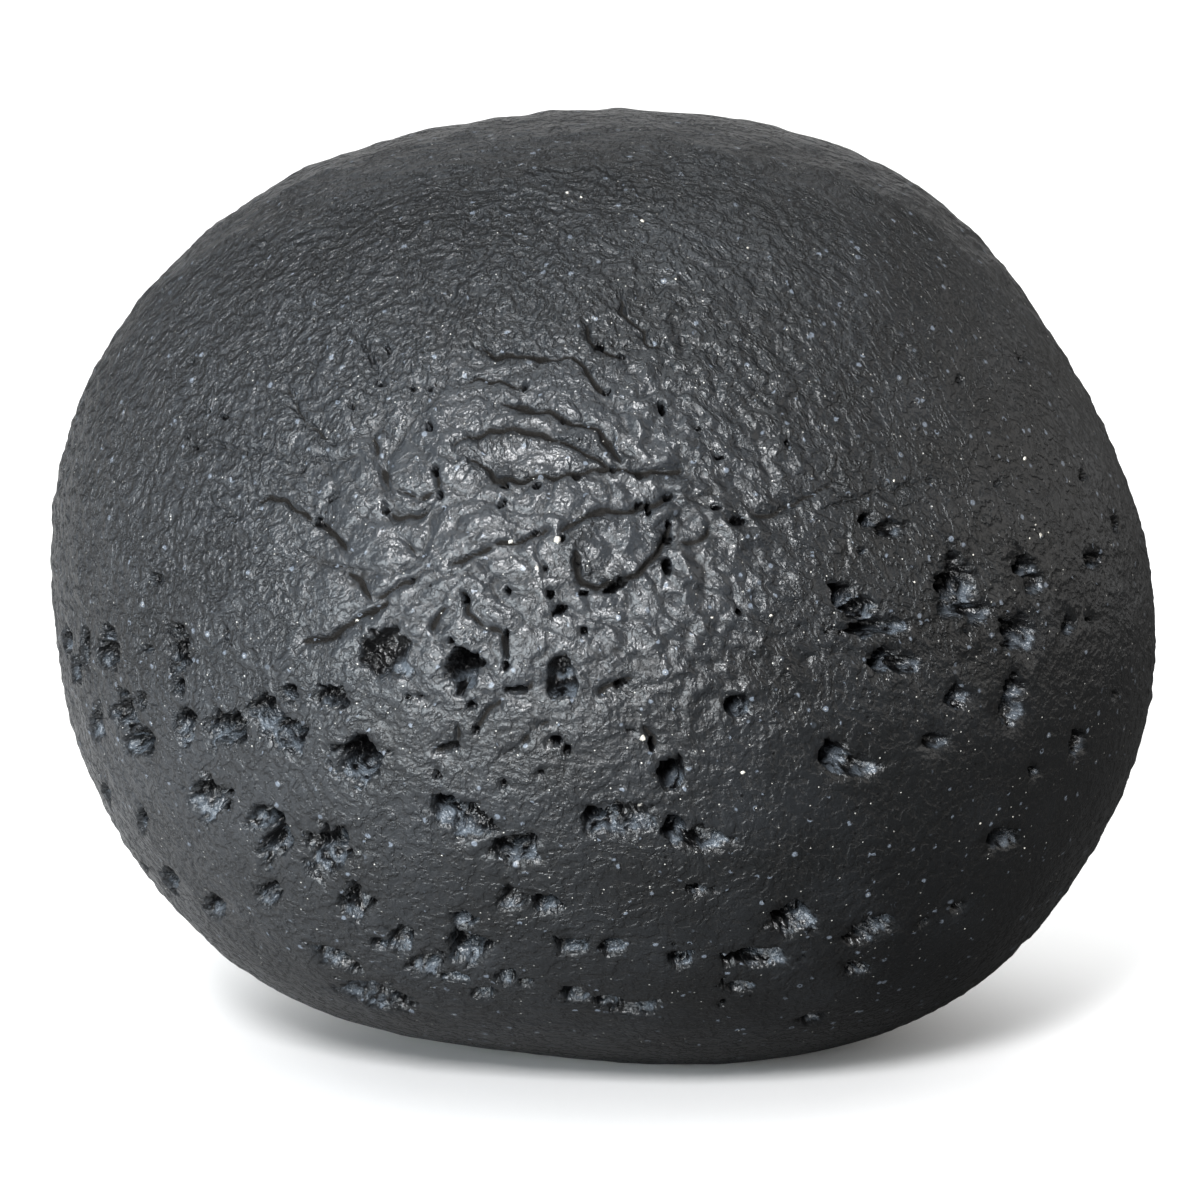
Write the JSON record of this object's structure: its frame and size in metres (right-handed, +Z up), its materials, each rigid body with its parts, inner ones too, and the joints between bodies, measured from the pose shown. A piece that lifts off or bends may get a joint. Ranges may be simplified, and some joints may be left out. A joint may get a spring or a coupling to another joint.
{
  "type": "pitted dark stone nodule",
  "caption": "Rounded dark stone with a satin skin, scattered pits and thin folds, resting on a small flat spot.",
  "frame": {"origin": "on the floor, under the middle of the stone's box", "axes": "+X to the right and along the stone's longest extent, +Y away from the viewer of the front, +Z up"},
  "size_m": [0.1804, 0.1584, 0.1542],
  "materials": {
    "stone_skin": "dark grey to black satin skin with fine leathery grain and tiny pale grains"
  },
  "bodies": {
    "root": {"stone": "stone_skin"}
  },
  "joints": []
}
